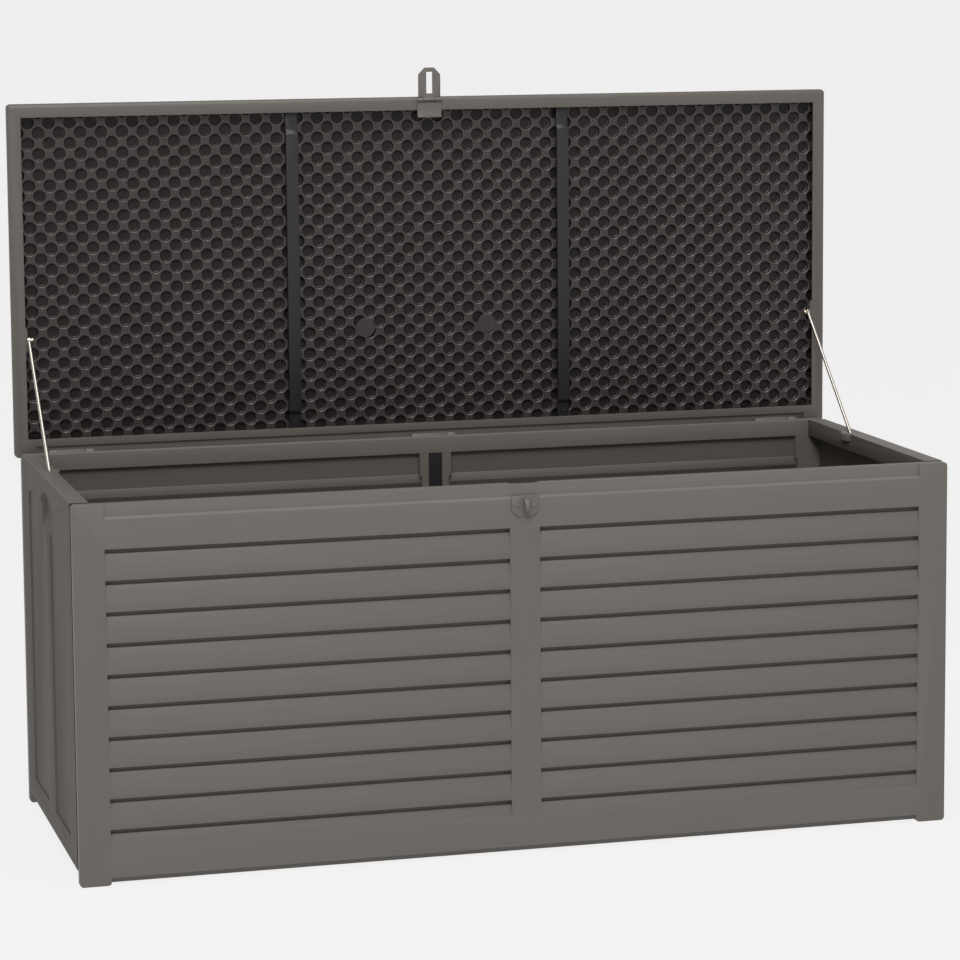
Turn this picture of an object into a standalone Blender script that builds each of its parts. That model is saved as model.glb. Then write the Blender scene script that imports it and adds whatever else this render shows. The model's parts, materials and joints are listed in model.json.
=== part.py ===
"""Deck storage box: a moulded resin box with lapped boards, a hinged lid held by two stay rods, and a hasp.

Design frame: X to the right, Y from the front face to the rear face, Z up from the feet, in metres. An empty then
puts the middle of the open box's outline at the origin. The lid's pieces are drawn with the lid shut, and the
lid_hinge empty turns them to the open rest position.
"""

import math

import bmesh
import bpy
from mathutils import Matrix, Vector

# Overall sizes
BOX_W = 1.460            # outer width of the body
BOX_D = 0.588            # outer depth of the body
BOX_H = 0.608            # floor to the top of the rim
GAP = 0.0003             # between pieces that touch
OVER = 0.02              # how far a cutter runs past what it cuts

# Front and rear panels
PANEL_T = 0.018          # depth of the stiles and rails
SKIN_T = 0.004           # wall of the lapped boards
STILE_W = 0.050
BAND_H = 0.021           # set-back band under the rim
BAND_DEPTH = 0.005
HEADER_H = 0.051         # plain board under the band
BOARDS = 10
GROOVE_H = 0.0064
GROOVE_DEPTH = 0.008
LAP_DEPTH = 0.0045       # set-back of a board's upper edge
BOARD_SETBACK = 0.0003   # of a board's lower edge behind the stiles
PLINTH_TOP = 0.063       # top of the plain bottom rail
PLINTH_BOTTOM = 0.012
TUCK_DEPTH = 0.010       # how far the strip under the plinth slants in
SOLE_Z = 0.003           # underside of the panel between the feet
FOOT_CHAMFER = 0.004
FLANGE_H = 0.030         # inner flange that hangs from the rim
FLANGE_T = 0.004
LEDGE_DEPTH = 0.012      # ledge that carries the floor
LEDGE_H = 0.010

# Side panels
RIM_W = 0.030
RIM_T = 0.004
SIDE_T = 0.007           # stiles and rails of a side panel
FIELD_DEPTH = 0.003
SIDE_BOTTOM = 0.022
SIDE_STILE_W = 0.075
SIDE_CENTRE_W = 0.080
FIELD_BOTTOM = 0.060
FIELD_TOP_MARGIN = 0.040
FIELD_ARCH = 0.012
SIDE_FLANGE_T = 0.003
GRIP_HALF_W = 0.062
GRIP_TOP_MARGIN = 0.024  # below the rim
GRIP_H = 0.070
GRIP_DEPTH = 0.010
GRIP_WALL = 0.004

# Floor
FLOOR_Z = 0.0243         # underside of the floor plate
FLOOR_T = 0.004
RIB_H = 0.012
RIB_W = 0.006
RIBS = 6

# Upright braces behind the centre stiles
BRACE_W = 0.023
BRACE_DEPTH = 0.0135
BRACE_WALL = 0.002
BRACE_POCKET = 0.0035    # wall left in front of a brace

# Lid
LID_GAP = 0.001          # between the shut lid's rim and the body's rim
LID_OVERHANG = 0.0085
LID_RIM_W = 0.023
LID_REAR_RIM_W = 0.031
LID_FLANGE_T = 0.003
LID_SKIRT_T = 0.003
LID_SKIRT_H = 0.024
LID_TOP_T = 0.003
LID_FIELD_INSET = 0.034
LID_FIELD_RISE = 0.005
LID_OPEN = math.radians(90)
LINER_Z = 0.0145         # liner's face above the body's rim
LINER_T = 0.007
LINER_MARGIN = 0.0005

# Lid bars
BAR_X = 0.245
BAR_W = 0.0215
BAR_T = 0.0096
BAR_END = 0.050          # flattened end
BAR_END_T = 0.0040

# Hinge
AXIS_BEHIND = 0.0017     # hinge axis behind the rear face
AXIS_BELOW = 0.0017      # and below the rim
HINGE_X = 0.6425
LID_KNUCKLE_W = 0.0486
BODY_KNUCKLE_W = 0.014
KNUCKLE_R = 0.005
KNUCKLE_GAP = 0.0005
PIN_R = 0.002
PIN_CLEARANCE = 0.0003
REBATE_W = 0.018         # rebate in the lid's rear rim
REBATE_DEPTH = 0.004

# Stays
STAY_INSET = 0.0205      # rod's plane inside the body's outer face
STUD_FORWARD = 0.195     # stud forward of the hinge axis, lid shut
STUD_ABOVE_RIM = 0.0072
STAY_ROD_R = 0.00275
EYE_R = 0.0055
EYE_T = 0.005
STOP_LENGTH = 0.0155
STOP_R = 0.0055
STOP_GAP = 0.0005        # between the stop and its guide, lid open
STUD_R = 0.0022
STUD_CLEARANCE = 0.0004
STUD_HEAD_R = 0.0042
STUD_HEAD_T = 0.0045
TAB_LENGTH = 0.042
TAB_H = 0.0124
GUIDE_FRONT = 0.033      # guide block forward of the stud's shut place
GUIDE_REAR = 0.012
GUIDE_H = 0.014
GUIDE_HOOD = 0.008       # hood beyond the rim's inner face
GUIDE_WALL = 0.004
ROD_SLOT_CLEARANCE = 0.00075

# Hasp
HASP_FORWARD = 0.004     # hasp pin in front of the body's face
HASP_W = 0.043
HASP_KNUCKLE_R = 0.0035
HASP_KNUCKLE_W = 0.021
HASP_PIN_R = 0.0014
HASP_PLATE_T = 0.0019
HASP_PLATE_BACK = 0.027  # rear end of the plate behind the body's face
HASP_LIP = 0.004
HASP_PLATE_GAP = 0.0003
HASP_NOTCH = 0.002
FLAP_W = 0.0395
FLAP_LENGTH = 0.0555
FLAP_T = 0.0026
FLAP_CLEARANCE = 0.0005  # hanging flap in front of the staple's screws
FLAP_TIP_W = 0.017
FLAP_SHOULDER = 0.0435
FLAP_SLOT_W = 0.011
FLAP_SLOT_START = 0.0105
FLAP_SLOT_END = 0.048

# Staple
STAPLE_W = 0.045
STAPLE_H = 0.033
STAPLE_T = 0.0022
STAPLE_CHAMFER = 0.009
STAPLE_EYE_W = 0.007
STAPLE_EYE_REACH = 0.0155
STAPLE_EYE_H = 0.024
STAPLE_HOLE_R = 0.004
STAPLE_HOLE_WALL = 0.0031
SCREW_R = 0.0035
SCREW_HEAD_T = 0.0014
SCREW_X = 0.0125

# Places worked out from the sizes
HALF_W = BOX_W / 2
AXIS_Y = BOX_D + AXIS_BEHIND
AXIS_Z = BOX_H - AXIS_BELOW
LID_Z = BOX_H + LID_GAP
LID_FRONT = -LID_OVERHANG
LID_REAR = BOX_D + LID_OVERHANG
LID_HALF_W = HALF_W + LID_OVERHANG
LID_TOP = LID_Z + LID_SKIRT_H + LID_FIELD_RISE
FIELD_TOP = BOX_H - BAND_H - HEADER_H
BOARD_PITCH = (FIELD_TOP - PLINTH_TOP - GROOVE_H - 0.020) / (BOARDS - 1)
STUD_Y = AXIS_Y - STUD_FORWARD
STUD_Z = BOX_H + STUD_ABOVE_RIM
STUD_RADIUS = math.hypot(STUD_FORWARD, STUD_Z - AXIS_Z)
ROD_REACH = STUD_RADIUS * math.sqrt(2)
ROD_LEAN = LID_OPEN / 2 + math.atan2(STUD_Z - AXIS_Z, STUD_FORWARD)
STOP_DROP = STUD_ABOVE_RIM + GUIDE_H + STOP_R * math.sin(ROD_LEAN) + STOP_GAP
STOP_FROM_STUD = ROD_REACH + STOP_DROP / math.cos(ROD_LEAN)
HASP_Y = -HASP_FORWARD
HASP_Z = LID_Z - HASP_PLATE_GAP - HASP_KNUCKLE_R
STAPLE_TOP = BOX_H - BAND_H + 0.001
OPEN_REAR = AXIS_Y + (LID_TOP - AXIS_Z)
STAPLE_FRONT = -GAP - STAPLE_T - STAPLE_EYE_REACH
STAPLE_SCREW_FACE = -GAP - STAPLE_T - GAP
FLAP_BACK = HASP_Y - STAPLE_SCREW_FACE + SCREW_HEAD_T + FLAP_CLEARANCE
MIDDLE_Y = (OPEN_REAR + STAPLE_FRONT) / 2

RESIN = ("resin", (0.150, 0.137, 0.128), 0.55, 0.0)
LINER = ("liner", (0.030, 0.026, 0.026), 0.50, 0.0)
STEEL = ("bright_steel", (0.62, 0.61, 0.59), 0.28, 1.0)
BLACK_STEEL = ("black_steel", (0.035, 0.035, 0.038), 0.45, 0.6)


def material(look):
    """The named material of a look, made once."""
    name, colour, roughness, metallic = look
    made = bpy.data.materials.get(name)
    if made is None:
        made = bpy.data.materials.new(name)
        made.use_nodes = True
        shader = made.node_tree.nodes["Principled BSDF"]
        shader.inputs["Base Color"].default_value = (*colour, 1.0)
        shader.inputs["Roughness"].default_value = roughness
        shader.inputs["Metallic"].default_value = metallic
    return made


def empty(name, place, parent=None, turn=0.0):
    """An empty at a place in its parent, turned about X."""
    made = bpy.data.objects.new(name, None)
    made.empty_display_size = 0.05
    made.location = place
    made.rotation_euler = (turn, 0.0, 0.0)
    made.parent = parent
    bpy.context.scene.collection.objects.link(made)
    return made


def join_prism(mesh, outline, axis, start, end):
    """Adds the prism of an outline to a bmesh. The outline is (y, z), (x, z) or (x, y), by axis."""
    order = {"X": lambda a, b, t: (t, a, b), "Y": lambda a, b, t: (a, t, b), "Z": lambda a, b, t: (a, b, t)}[axis]
    rings = [[mesh.verts.new(order(a, b, t)) for a, b in outline] for t in (start, end)]
    count = len(outline)
    faces = [mesh.faces.new(rings[0]), mesh.faces.new(rings[1])]
    for i in range(count):
        j = (i + 1) % count
        faces.append(mesh.faces.new((rings[0][i], rings[0][j], rings[1][j], rings[1][i])))
    bmesh.ops.recalc_face_normals(mesh, faces=faces)


def join_box(mesh, low, high):
    """Adds a box to a bmesh."""
    outline = [(low[0], low[1]), (high[0], low[1]), (high[0], high[1]), (low[0], high[1])]
    join_prism(mesh, outline, "Z", low[2], high[2])


def join_loft(mesh, rings):
    """Adds the closed body through rings of points, with the same number of points in each."""
    made = [[mesh.verts.new(point) for point in ring] for ring in rings]
    faces = [mesh.faces.new(made[0]), mesh.faces.new(made[-1])]
    for near, far in zip(made, made[1:]):
        for i in range(len(near)):
            j = (i + 1) % len(near)
            faces.append(mesh.faces.new((near[i], near[j], far[j], far[i])))
    bmesh.ops.recalc_face_normals(mesh, faces=faces)


def arc(centre, radius, start, end, steps):
    """Points on an arc, with angles in degrees."""
    angles = [math.radians(start + (end - start) * i / steps) for i in range(steps + 1)]
    return [(centre[0] + radius * math.cos(a), centre[1] + radius * math.sin(a)) for a in angles]


def circle(centre, radius, sides=16):
    """Points round a whole circle."""
    return arc(centre, radius, 0, 360, sides)[:-1]


def add_object(name, mesh, look, parent, origin=(0, 0, 0)):
    """An object from a bmesh drawn in the design frame, with its own origin moved to a point of that frame."""
    bmesh.ops.translate(mesh, vec=-Vector(origin), verts=mesh.verts)
    data = bpy.data.meshes.new(name)
    mesh.to_mesh(data)
    mesh.free()
    made = bpy.data.objects.new(name, data)
    made.parent = parent
    bpy.context.scene.collection.objects.link(made)
    if look:
        data.materials.append(material(look))
    return made


def add_helper(target, name, operation, mesh, origin=(0, 0, 0)):
    """Cuts or joins a bmesh to an object with an exact Boolean."""
    helper = add_object(f"{target.name}_{name}", mesh, None, target.parent, origin)
    helper.hide_render = True
    helper.display_type = "WIRE"
    modifier = target.modifiers.new(name, "BOOLEAN")
    modifier.operation = operation
    modifier.solver = "EXACT"
    modifier.object = helper


def smooth(made, degrees=35):
    """Shades the round faces smooth."""
    made.data.shade_smooth()
    made.data.set_sharp_from_angle(angle=math.radians(degrees))


def groove_heights():
    """Middle heights of the grooves between boards, from the lowest up."""
    return [FIELD_TOP - GROOVE_H / 2 - BOARD_PITCH * i for i in reversed(range(BOARDS))]


def board_face():
    """Outline of the boards' outer face, (depth, height), from the plinth up to the header."""
    points = [(BOARD_SETBACK, PLINTH_TOP)]
    for middle in groove_heights():
        low, high = middle - GROOVE_H / 2, middle + GROOVE_H / 2
        points += [(LAP_DEPTH * 0.45, low - 0.012), (LAP_DEPTH, low - 0.002), (GROOVE_DEPTH, low)]
        points += [(GROOVE_DEPTH, high), (BOARD_SETBACK, high)]
    return points[:-1]


def board_back():
    """Outline of the boards' inner face, (depth, height), from the floor up to under the header."""
    points = []
    for middle in groove_heights():
        low, high = middle - GROOVE_H / 2 - 0.004, middle + GROOVE_H / 2 + 0.004
        points += [(SKIN_T + LAP_DEPTH, low - 0.008), (SKIN_T + GROOVE_DEPTH, low)]
        points += [(SKIN_T + GROOVE_DEPTH, high), (SKIN_T + 0.0008, high + 0.002)]
    return points


def panel_outline():
    """Front view of a long panel with its two feet, (x, z)."""
    inner = HALF_W - STILE_W
    right = [(inner, SOLE_Z), (inner + FOOT_CHAMFER, 0.0), (HALF_W - FOOT_CHAMFER, 0.0)]
    right += [(HALF_W, FOOT_CHAMFER), (HALF_W, BOX_H)]
    return right + [(-x, z) for x, z in reversed(right)]


def long_panel_bodies():
    """The slab of a long panel, what is cut from it and what is joined to it, with the outer face at y = 0."""
    inner = HALF_W - STILE_W
    bays = [(-inner, -STILE_W / 2), (STILE_W / 2, inner)]
    slab, outer_cut, inner_cut, added = bmesh.new(), bmesh.new(), bmesh.new(), bmesh.new()
    join_prism(slab, panel_outline(), "Y", 0.0, PANEL_T)
    tuck = [(-OVER, PLINTH_BOTTOM), (0.004, PLINTH_BOTTOM), (TUCK_DEPTH, SOLE_Z)]
    tuck += [(TUCK_DEPTH, -OVER), (-OVER, -OVER)]
    join_prism(outer_cut, tuck, "X", -inner, inner)
    join_box(outer_cut, (-inner, -OVER, BOX_H - BAND_H), (inner, BAND_DEPTH, BOX_H + OVER))
    face = [(-OVER, PLINTH_TOP)] + board_face() + [(-OVER, FIELD_TOP)]
    flange_y = PANEL_T - FLANGE_T
    back = [(PANEL_T + OVER, FLOOR_Z), (SKIN_T + LAP_DEPTH, FLOOR_Z)] + board_back()
    back += [(BAND_DEPTH + SKIN_T, BOX_H - BAND_H - SKIN_T), (BAND_DEPTH + SKIN_T, BOX_H - RIM_T)]
    back += [(flange_y, BOX_H - RIM_T), (flange_y, BOX_H - FLANGE_H), (PANEL_T + OVER, BOX_H - FLANGE_H)]
    for start, end in bays:
        join_prism(outer_cut, face, "X", start, end)
        join_prism(inner_cut, back, "X", start + SKIN_T, end - SKIN_T)
    half = BRACE_W / 2 + GAP
    join_box(inner_cut, (-half, BRACE_POCKET, FLOOR_Z), (half, PANEL_T + OVER, BOX_H - FLANGE_H))
    ledge_top = FLOOR_Z - GAP
    join_box(added, (-inner, PANEL_T - 0.003, ledge_top - LEDGE_H), (inner, PANEL_T + LEDGE_DEPTH, ledge_top))
    return slab, outer_cut, inner_cut, added


def turn_to_rear(mesh):
    """Turns a bmesh half round, from the front face to the rear face."""
    turn = Matrix.Translation((0, BOX_D, 0)) @ Matrix.Rotation(math.pi, 4, "Z")
    bmesh.ops.transform(mesh, matrix=turn, verts=mesh.verts)


def front_panel(frame):
    slab, outer_cut, inner_cut, added = long_panel_bodies()
    panel = add_object("front_panel", slab, RESIN, frame)
    add_helper(panel, "face", "DIFFERENCE", outer_cut)
    add_helper(panel, "back", "DIFFERENCE", inner_cut)
    add_helper(panel, "ledge", "UNION", added)
    notch = bmesh.new()
    half = HASP_W / 2 + 0.002
    join_box(notch, (-half, -OVER, BOX_H - HASP_NOTCH), (half, PANEL_T + OVER, BOX_H + OVER))
    add_helper(panel, "hasp_notch", "DIFFERENCE", notch)


def hinge_stations():
    """Middles of the three hinges."""
    return [("left", -HINGE_X), ("centre", 0.0), ("right", HINGE_X)]


def body_knuckle_outline():
    """Side view of a body knuckle, (y, z): a barrel joined to the rear panel."""
    inside = BOX_D - BAND_DEPTH - SKIN_T / 2
    low = BOX_H - BAND_H / 2 - 0.004
    top = arc((AXIS_Y, AXIS_Z), KNUCKLE_R, -90, 90, 8)
    root = [(BOX_D - 0.004, AXIS_Z + KNUCKLE_R), (inside, BOX_H - 0.001)]
    return [(inside, low), (AXIS_Y - KNUCKLE_R, low)] + top + root


def rear_panel(frame):
    slab, outer_cut, inner_cut, added = long_panel_bodies()
    for mesh in (slab, outer_cut, inner_cut, added):
        turn_to_rear(mesh)
    panel = add_object("rear_panel", slab, RESIN, frame)
    add_helper(panel, "face", "DIFFERENCE", outer_cut)
    add_helper(panel, "back", "DIFFERENCE", inner_cut)
    add_helper(panel, "ledge", "UNION", added)
    knuckles, bores = bmesh.new(), bmesh.new()
    for _, x in hinge_stations():
        for side in (-1, 1):
            near = x + side * (LID_KNUCKLE_W / 2 + KNUCKLE_GAP)
            far = near + side * BODY_KNUCKLE_W
            join_prism(knuckles, body_knuckle_outline(), "X", min(near, far), max(near, far))
        half = LID_KNUCKLE_W / 2 + BODY_KNUCKLE_W + OVER / 4
        join_prism(bores, circle((AXIS_Y, AXIS_Z), PIN_R + PIN_CLEARANCE, 12), "X", x - half, x + half)
    add_helper(panel, "knuckles", "UNION", knuckles)
    add_helper(panel, "bores", "DIFFERENCE", bores)


def side_x(side, inward):
    """X of a point some way inward from a side's outer face; side is -1 left, 1 right."""
    return side * (HALF_W - inward)


def grip_outline(half_w, low, high, steps=10):
    """Arched outline of the hand grip, (y, z), square at the foot."""
    middle = BOX_D / 2
    rise = min(half_w * 0.4, (high - low) * 0.7)
    turns = [math.pi * i / steps for i in range(steps + 1)]
    top = [(middle + half_w * math.cos(a), high - rise + rise * math.sin(a)) for a in turns]
    return [(middle - half_w, low), (middle + half_w, low)] + top


def side_field(start, end):
    """Outline of a set-back field of a side panel, (y, z), with an arched top."""
    top = BOX_H - FIELD_TOP_MARGIN
    steps = 6
    points = [(start, FIELD_BOTTOM), (end, FIELD_BOTTOM)]
    for i in range(steps + 1):
        t = i / steps
        points.append((end + (start - end) * t, top - FIELD_ARCH + FIELD_ARCH * math.sin(math.pi * t)))
    return points


def side_panel(frame, name, side):
    y0, y1 = PANEL_T + GAP, BOX_D - PANEL_T - GAP
    slab, inside, outside, bulge, grip, slot = (bmesh.new() for _ in range(6))
    wall = [(y0, SIDE_BOTTOM), (y1, SIDE_BOTTOM), (y1, BOX_H), (y0, BOX_H)]
    join_prism(slab, wall, "X", side_x(side, 0), side_x(side, RIM_W))
    flange_u = RIM_W - SIDE_FLANGE_T
    hollow = [(RIM_W + OVER, 0.0), (RIM_W + OVER, BOX_H - FLANGE_H), (flange_u, BOX_H - FLANGE_H)]
    hollow += [(flange_u, BOX_H - RIM_T), (SIDE_T, BOX_H - RIM_T), (SIDE_T, 0.0)]
    join_prism(inside, [(side_x(side, u), z) for u, z in hollow], "Y", y0 - OVER, y1 + OVER)
    middle = BOX_D / 2
    centre_half = SIDE_CENTRE_W / 2
    for start, end in ((y0 + SIDE_STILE_W, middle - centre_half), (middle + centre_half, y1 - SIDE_STILE_W)):
        join_prism(outside, side_field(start, end), "X", side_x(side, -OVER), side_x(side, FIELD_DEPTH))
    top = BOX_H - GRIP_TOP_MARGIN
    low = top - GRIP_H
    backed = grip_outline(GRIP_HALF_W + GRIP_WALL, low - GRIP_WALL, top + GRIP_WALL)
    deep = grip_outline(GRIP_HALF_W - 0.010, top - GRIP_H * 0.55, top - 0.003)
    back_deep = grip_outline(GRIP_HALF_W - 0.006, top - GRIP_H * 0.6, top + 0.001)
    backs = [(FIELD_DEPTH + 0.0005, backed), (SIDE_T, backed), (GRIP_DEPTH + GRIP_WALL, back_deep)]
    join_loft(bulge, [[(side_x(side, u), y, z) for y, z in ring] for u, ring in backs])
    mouth = grip_outline(GRIP_HALF_W, low, top)
    wide = grip_outline(GRIP_HALF_W + 0.001, low - 0.003, top + 0.0005)
    mouths = [(-OVER / 4, wide), (0.0, mouth), (GRIP_DEPTH, deep)]
    join_loft(grip, [[(side_x(side, u), y, z) for y, z in ring] for u, ring in mouths])
    block_u = STAY_INSET - STAY_ROD_R - ROD_SLOT_CLEARANCE - GUIDE_WALL
    ends = sorted((side_x(side, block_u - GAP), side_x(side, RIM_W + OVER)))
    seat_low = (ends[0], STUD_Y - GUIDE_FRONT - GAP, BOX_H - GUIDE_H - GAP)
    join_box(slot, seat_low, (ends[1], STUD_Y + GUIDE_REAR + GAP, BOX_H + OVER))
    panel = add_object(name, slab, RESIN, frame)
    add_helper(panel, "hollow", "DIFFERENCE", inside)
    add_helper(panel, "fields", "DIFFERENCE", outside)
    add_helper(panel, "bulge", "UNION", bulge)
    add_helper(panel, "grip", "DIFFERENCE", grip)
    add_helper(panel, "guide_seat", "DIFFERENCE", slot)


def floor_panel(frame):
    edge = HALF_W - SIDE_T - GAP
    top = FLOOR_Z + FLOOR_T
    ribs_low = FLOOR_Z - RIB_H
    spacing = 2 * edge / (RIBS + 1)
    outline = [(edge, top), (-edge, top), (-edge, FLOOR_Z)]
    for i in range(1, RIBS + 1):
        x = -edge + spacing * i
        near, far = x - RIB_W / 2, x + RIB_W / 2
        outline += [(near, FLOOR_Z), (near, ribs_low), (far, ribs_low), (far, FLOOR_Z)]
    outline.append((edge, FLOOR_Z))
    body, ends = bmesh.new(), bmesh.new()
    y0, y1 = PANEL_T + GAP, BOX_D - PANEL_T - GAP
    join_prism(body, outline, "Y", y0, y1)
    ledge = LEDGE_DEPTH + 0.002
    for low, high in ((y0 - OVER, y0 + ledge), (y1 - ledge, y1 + OVER)):
        join_box(ends, (-edge - OVER, low, 0.0), (edge + OVER, high, FLOOR_Z))
    floor = add_object("floor_panel", body, RESIN, frame)
    add_helper(floor, "rib_ends", "DIFFERENCE", ends)


def brace(frame, name, rear):
    """A black channel standing behind a centre stile, open towards the stile."""
    half, near, far = BRACE_W / 2, BRACE_POCKET + GAP, BRACE_POCKET + GAP + BRACE_DEPTH
    outline = [(-half, near), (-half, far), (half, far), (half, near)]
    outline += [(half - BRACE_WALL, near), (half - BRACE_WALL, far - BRACE_WALL)]
    outline += [(-half + BRACE_WALL, far - BRACE_WALL), (-half + BRACE_WALL, near)]
    mesh = bmesh.new()
    join_prism(mesh, outline, "Z", FLOOR_Z + GAP, BOX_H - FLANGE_H - GAP)
    if rear:
        turn_to_rear(mesh)
    add_object(name, mesh, BLACK_STEEL, frame)
    head = BOX_D - far - GAP - SCREW_HEAD_T if rear else far + GAP
    for place, z in (("low", FLOOR_Z + 0.060), ("high", BOX_H - FLANGE_H - 0.060)):
        screw(f"{name}_screw_{place}", frame, (0.0, z), "Y", head)


def lid_ring(inset, height, rear=None):
    """A rectangle of the lid at an inset from its edges and a height."""
    rear = inset if rear is None else rear
    x = LID_HALF_W - inset
    front, back = LID_FRONT + inset, LID_REAR - rear
    return [(-x, front, height), (x, front, height), (x, back, height), (-x, back, height)]


def lid_knuckle_outline():
    """Side view of a lid knuckle, (y, z): a barrel hanging from the rear rim."""
    top = LID_Z + REBATE_DEPTH + LID_FLANGE_T / 2
    barrel = arc((AXIS_Y, AXIS_Z), KNUCKLE_R, 180, 360, 8)
    return [(AXIS_Y - KNUCKLE_R, top)] + barrel + [(AXIS_Y + KNUCKLE_R, top)]


def lid_panel(hinge):
    axis = (0, AXIS_Y, AXIS_Z)
    edge_top = LID_Z + LID_SKIRT_H
    flange_top = LID_Z + LID_FLANGE_T
    field, roof = LID_FIELD_INSET, LID_FIELD_INSET - 0.004
    rings = [lid_ring(field, LID_TOP), lid_ring(roof, edge_top)]
    rings += [lid_ring(0.003, edge_top), lid_ring(0, edge_top - 0.003), lid_ring(0, LID_Z)]
    rings += [lid_ring(LID_RIM_W, z, LID_REAR_RIM_W) for z in (LID_Z, flange_top)]
    rings += [lid_ring(LID_SKIRT_T, flange_top), lid_ring(LID_SKIRT_T, edge_top - LID_TOP_T)]
    rings += [lid_ring(roof + LID_TOP_T, edge_top - LID_TOP_T)]
    rings += [lid_ring(field + LID_TOP_T, LID_TOP - LID_TOP_T)]
    body = bmesh.new()
    join_loft(body, rings)
    panel = add_object("lid_panel", body, RESIN, hinge, axis)
    rear_block, rebate, knuckles, bores = (bmesh.new() for _ in range(4))
    x = HALF_W - RIM_W
    block_top = LID_Z + REBATE_DEPTH + LID_FLANGE_T
    block_low = (-x - 0.004, LID_REAR - REBATE_W - 0.004, LID_Z + 0.001)
    join_box(rear_block, block_low, (x + 0.004, LID_REAR - 0.001, block_top))
    join_box(rebate, (-x, LID_REAR - REBATE_W, LID_Z - OVER), (x, LID_REAR + OVER, LID_Z + REBATE_DEPTH))
    for _, middle in hinge_stations():
        half = LID_KNUCKLE_W / 2
        join_prism(knuckles, lid_knuckle_outline(), "X", middle - half, middle + half)
        bore = circle((AXIS_Y, AXIS_Z), PIN_R + PIN_CLEARANCE, 12)
        join_prism(bores, bore, "X", middle - half - OVER / 4, middle + half + OVER / 4)
    for side in (-1, 1):
        near, far = STAY_INSET - EYE_T / 2 - GAP, LID_RIM_W - LID_OVERHANG - 0.003
        ends = sorted((side_x(side, near), side_x(side, far)))
        tab = [(STUD_Y - TAB_LENGTH / 2, LID_Z + 0.001), (STUD_Y + TAB_LENGTH / 2, LID_Z + 0.001)]
        nose = arc((STUD_Y - TAB_LENGTH / 2 + TAB_H, LID_Z + 0.001), TAB_H - 0.001, 90, 180, 4)
        tab += [(STUD_Y + TAB_LENGTH / 2, LID_Z + TAB_H)] + nose[:-1]
        join_prism(knuckles, tab, "X", ends[0], ends[1])
    add_helper(panel, "rear_block", "UNION", rear_block, axis)
    add_helper(panel, "rebate", "DIFFERENCE", rebate, axis)
    add_helper(panel, "knuckles", "UNION", knuckles, axis)
    add_helper(panel, "bores", "DIFFERENCE", bores, axis)


def screw(name, parent, centre, axis, start, origin=(0, 0, 0)):
    """The flat round head of a screw, lying along an axis from its start."""
    mesh = bmesh.new()
    join_prism(mesh, circle(centre, SCREW_R, 12), axis, start, start + SCREW_HEAD_T)
    smooth(add_object(name, mesh, STEEL, parent, origin))


def hinge_pins(frame):
    half = LID_KNUCKLE_W / 2 + BODY_KNUCKLE_W
    for place, x in hinge_stations():
        mesh = bmesh.new()
        join_prism(mesh, circle((AXIS_Y, AXIS_Z), PIN_R, 12), "X", x - half, x + half)
        smooth(add_object(f"hinge_pin_{place}", mesh, STEEL, frame))


def lid_liner(hinge):
    inset = LID_SKIRT_T + LINER_MARGIN
    mesh = bmesh.new()
    x = LID_HALF_W - inset
    low, high = BOX_H + LINER_Z, BOX_H + LINER_Z + LINER_T
    join_box(mesh, (-x, LID_FRONT + inset, low), (x, LID_REAR - inset, high))
    add_object("lid_liner", mesh, LINER, hinge, (0, AXIS_Y, AXIS_Z))


def lid_bars(hinge):
    """Two steel bars across the lid with flattened, screwed ends."""
    top = BOX_H + LINER_Z - GAP
    y0, y1 = LID_FRONT + LID_SKIRT_T + 0.001, LID_REAR - LID_SKIRT_T - 0.001
    step = 0.006
    axis = (0, AXIS_Y, AXIS_Z)
    for name, x in (("left", -BAR_X), ("right", BAR_X)):
        thin, thick = top - BAR_END_T, top - BAR_T
        profile = [(y0, top), (y0, thin), (y0 + BAR_END, thin), (y0 + BAR_END + step, thick)]
        profile += [(y1 - BAR_END - step, thick), (y1 - BAR_END, thin), (y1, thin), (y1, top)]
        mesh = bmesh.new()
        join_prism(mesh, profile, "X", x - BAR_W / 2, x + BAR_W / 2)
        add_object(f"lid_bar_{name}", mesh, BLACK_STEEL, hinge, axis)
        low = top - BAR_END_T - GAP - SCREW_HEAD_T
        for place, y in (("front", y0 + LID_RIM_W + 0.009), ("rear", y1 - LID_REAR_RIM_W - 0.007)):
            screw(f"lid_bar_screw_{name}_{place}", hinge, (x, y), "Z", low, axis)


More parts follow.
